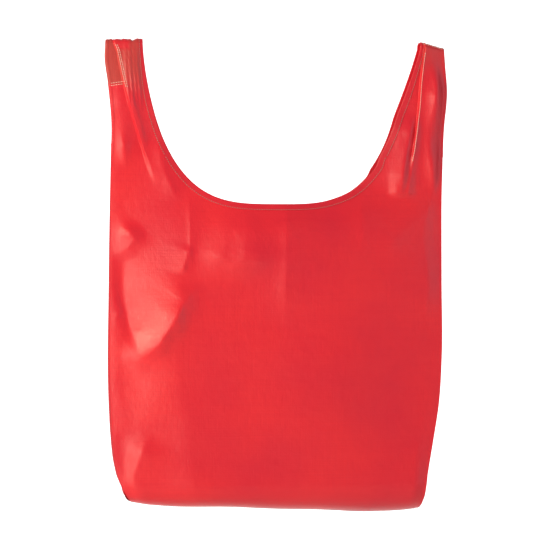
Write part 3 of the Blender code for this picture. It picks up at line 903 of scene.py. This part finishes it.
def top_lines(side):
    """Pale thread: two rows of topstitching down the left handle's pleat and two across, and one line of
    pale stitches down the right's pleat edge.
    """
    heights = np.linspace(-0.062, -0.0056, 28)
    if side > 0:
        heights = np.linspace(-0.152, -0.010, 60)
        rows = [[(float(curve_at(RIGHT_PLEAT, z)) + 0.0012, z) for z in heights]]
    else:
        rows = [[(float(curve_at(LEFT_PLEAT, z)) + off, z) for z in heights] for off in (0.0013, 0.0034)]
        rows += [[(-0.2104, -0.0588 + off), (-0.1925, -0.0560 + off)] for off in (0.0, 0.0030)]
    lines = [surface_line(row, -1) for row in rows]
    left, right = (-0.2095, -0.1700) if side < 0 else (0.1780, 0.2130)
    return lines + [surface_line([(left, z), (right, z)], 1) for z in (-0.0540, -0.0512)]


# The stow pocket inside the back panel.


def inside_back(x, z, level):
    """A point in front of the back panel's inner face, at a height and at a level off its middle plane."""
    slope = math.atan(WEDGE)
    down = (FOLD_Z - z) / math.cos(slope) - level * math.tan(slope)
    y = 0.0013 + down * math.sin(slope) - level * math.cos(slope)
    height = FOLD_Z - down * math.cos(slope) - level * math.sin(slope)
    return np.stack(np.broadcast_arrays(x, y, height), axis=-1)


def pocket_point(x, z):
    """The pocket's cloth, sewn down at the sides and the bottom, a little full below the snap."""
    side = smoothstep((POCKET_HALF - np.abs(x)) / 0.008) * smoothstep((z - POCKET_BOTTOM) / 0.008)
    full = swell(x, z, (0.0, -0.425), (0.050, 0.030), 0.0030)
    full = full + swell(x, z, (0.04, -0.39), (0.02, 0.03), 0.0012)
    return inside_back(x, z, 0.0007 + side * (0.0007 + full + waves(x, z, 101, 5, 0.05, 0.00025)))


def flap_point(x, z):
    """The flap's cloth, sewn to the panel above the pocket and standing off it below."""
    level = 0.0008 + 0.0037 * smoothstep((LID_AXIS.z + 0.004 - z) / 0.011)
    return inside_back(x, z, level + waves(x, z, 111, 4, 0.06, 0.0002))


def surface_grid(surface, x, z):
    """Points and normals of a surface over a grid of x and z, facing the front."""
    points = surface(x, z)
    return points, facing(grid_normal(points), (0.0, -1.0, 0.0))


def pocket_line(surface, places, height):
    """A line on the pocket through (x, z) places."""
    where, knots = np.linspace(0, 1, 160), np.linspace(0, 1, len(places))
    x, z = (np.interp(where, knots, [p[i] for p in places]) for i in (0, 1))
    return raised(surface(x, z), np.tile((0.0, -1.0, 0.0), (160, 1)), height)


def pocket_pieces():
    """The stow pocket with its hem, its flap, and their stitches. The snap parts stay CAD nodes."""
    x = np.linspace(-POCKET_HALF, POCKET_HALF, 90)[None, :]
    z = np.linspace(POCKET_TOP, POCKET_BOTTOM, 80)[:, None]
    points, normals = surface_grid(pocket_point, x + 0 * z, z + 0 * x)
    pocket = shell("stow_pocket_cloth", points, normals, RED)
    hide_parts("stow_pocket")
    rows = z[:7] + 0 * x
    points, normals = surface_grid(pocket_point, x + 0 * rows, rows)
    rings = hem_rings(points.transpose(1, 0, 2), normals.transpose(1, 0, 2), 0.0005)
    hem = tubes("stow_pocket_hem", [rings], TAPE)
    half, low, high = POCKET_HALF - 0.002, POCKET_BOTTOM + 0.002, POCKET_TOP - 0.001
    lines = [pocket_line(pocket_point, [(s * half, high), (s * half, low)], CLOTH / 2) for s in (-1, 1)]
    lines.append(pocket_line(pocket_point, [(-half, low), (half, low)], CLOTH / 2))
    lines.append(pocket_line(pocket_point, [(-half, rows[5, 0]), (half, rows[5, 0])], 0.0005))
    thread = stitches("stow_pocket_stitches", lines, GREY_THREAD)
    for piece in (pocket, hem, thread):
        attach(piece, "back")
    return [pocket, hem, thread, *flap_pieces()]


def flap_pieces():
    """The pocket's flap, with rounded corners, and its stitches."""
    share = np.linspace(-1.0, 1.0, 70)[None, :]
    down = np.linspace(0.0, 1.0, 36)[:, None] ** 0.8
    top, low, corner = LID_AXIS.z + 0.006, FLAP_BOTTOM, 0.012
    edge = FLAP_HALF - corner
    def bottom_at(x):
        beyond = np.clip(np.abs(x) - edge, 0.0, corner * 0.999)
        return low + corner - np.sqrt(corner**2 - beyond**2)
    x = share * FLAP_HALF + 0 * down
    z = top + (bottom_at(x) - top) * down
    points, normals = surface_grid(flap_point, x, z)
    flap = shell("pocket_flap_cloth", points, normals, RED)
    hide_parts("pocket_flap")
    inside = FLAP_HALF - 0.002
    rim_x = np.linspace(-inside, inside, 60)
    rim_z = bottom_at(rim_x * FLAP_HALF / inside) + 0.002
    low_rim = zip(rim_x.tolist(), rim_z.tolist(), strict=True)
    rim = [(-inside, LID_AXIS.z), *low_rim, (inside, LID_AXIS.z)]
    lines = [pocket_line(flap_point, rim, CLOTH / 2)]
    lines += [pocket_line(flap_point, [(-inside, top - 0.0015), (inside, top - 0.0015)], CLOTH / 2)]
    thread = stitches("pocket_flap_stitches", lines, GREY_THREAD)
    for piece in (flap, thread):
        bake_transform(piece)
    return [flap, thread]


SIDES = (("left", -1), ("right", 1))
HANDLES = [handle_pieces(side_name, side) for side_name, side in SIDES]
SEAM_BAND, SEAM_STITCHES = seam_band()
for face_name, face in (("front", -1), ("back", 1)):
    panel = panel_piece(f"{face_name}_panel_cloth", face, f"{face_name}_panel")
    neck = neck_pieces(face, face_name)
    bottom = bottom_piece(f"{face_name}_bottom_cloth", face, face_name)
    for side_name, side in SIDES:
        gusset = gusset_piece(f"{side_name}_gusset_{face_name}_cloth", side, face)
pocket, pocket_hem, pocket_thread, flap, flap_thread = pocket_pieces()
for snap in ("snap_cap", "snap_socket", "snap_stud", "snap_stud_flange"):
    frame["nodes"][snap].material_slots[0].material = METAL


# Studio.


def studio():
    """A pale floor and backdrop in one sweep."""
    floor_z, depth, radius = SEAM_Z - 0.20, 4.6, 0.8
    turns = [math.pi / 2 * step / 12 for step in range(13)]
    profile = [(-6.0, floor_z)]
    start, centre_z = depth - radius, floor_z + radius
    profile += [(start + radius * math.sin(a), centre_z - radius * math.cos(a)) for a in turns]
    profile.append((depth, 6.0))
    vertices = np.array([(x, y, z) for y, z in profile for x in (-9.0, 9.0)])
    faces = [[2 * i, 2 * i + 1, 2 * i + 3, 2 * i + 2] for i in range(len(profile) - 1)]
    material = bpy.data.materials.new("pale_sweep")
    material.use_nodes = True
    tree = material.node_tree
    shader = tree.nodes["Principled BSDF"]
    shader.inputs["Base Color"].default_value = (0.78, 0.78, 0.78, 1.0)
    shader.inputs["Roughness"].default_value = 0.9
    shader.inputs["Emission Color"].default_value = (1.0, 1.0, 1.0, 1.0)
    place = node(tree, "ShaderNodeTexCoord")
    parts = node(tree, "ShaderNodeSeparateXYZ")
    tree.links.new(place.outputs["Object"], parts.inputs["Vector"])
    aside = node(tree, "ShaderNodeMath", operation="ABSOLUTE")
    glow = node(tree, "ShaderNodeMath", operation="MULTIPLY")
    tree.links.new(parts.outputs["X"], aside.inputs[0])
    tree.links.new(between(tree, parts.outputs["Y"], 0.05, 0.95, -0.2, 1.1), glow.inputs[0])
    tree.links.new(between(tree, aside.outputs[0], 1.0, 0.12, 1.5, 3.8), glow.inputs[1])
    tree.links.new(glow.outputs[0], shader.inputs["Emission Strength"])
    new_piece("sweep", vertices, faces, material)


def soft_light(name, place, size, power, colour):
    """A square soft box aimed at the bag."""
    data = bpy.data.lights.new(name, "AREA")
    data.shape, data.size, data.energy, data.color = "SQUARE", size, power, colour
    light = bpy.data.objects.new(name, data)
    bpy.context.scene.collection.objects.link(light)
    light.location = place
    light.rotation_mode = "QUATERNION"
    light.rotation_quaternion = (Vector((0.0, 0.0, -0.3)) - Vector(place)).to_track_quat("-Z", "Y")


def world_light(strength):
    """An even pale surround."""
    world = bpy.data.worlds.new("studio")
    bpy.context.scene.world = world
    world.use_nodes = True
    background = world.node_tree.nodes["Background"]
    background.inputs["Color"].default_value = (0.84, 0.90, 1.0, 1.0)
    background.inputs["Strength"].default_value = strength


def camera():
    """A long lens, slightly to the left of the bag's front, level with its middle."""
    centre = Vector((0.0, 0.0, -0.2955))
    distance, turn = 2.75, math.radians(-7.0)
    data = bpy.data.cameras.new("camera")
    data.lens, data.sensor_width = 36.0 * distance / 0.6976, 36.0
    data.clip_start, data.clip_end = 0.05, 50.0
    made = bpy.data.objects.new("camera", data)
    bpy.context.scene.collection.objects.link(made)
    made.location = centre + Vector((math.sin(turn), -math.cos(turn), 0.0)) * distance
    made.rotation_mode = "QUATERNION"
    made.rotation_quaternion = (centre - made.location).to_track_quat("-Z", "Y")
    bpy.context.scene.camera = made


studio()
soft_light("key", (-2.1, -1.25, 0.45), 0.9, 52.0, (1.0, 0.86, 0.62))
soft_light("front", (-1.33, -2.22, -0.03), 0.6, 17.0, (1.0, 0.90, 0.74))
soft_light("fill", (2.4, -1.5, 0.3), 2.6, 18.0, (0.90, 0.90, 1.0))
soft_light("back", (0.3, 2.0, 1.6), 1.6, 4.5, (1.0, 1.0, 1.0))
world_light(0.26)
camera()
bpy.context.scene.view_settings.view_transform = "Standard"
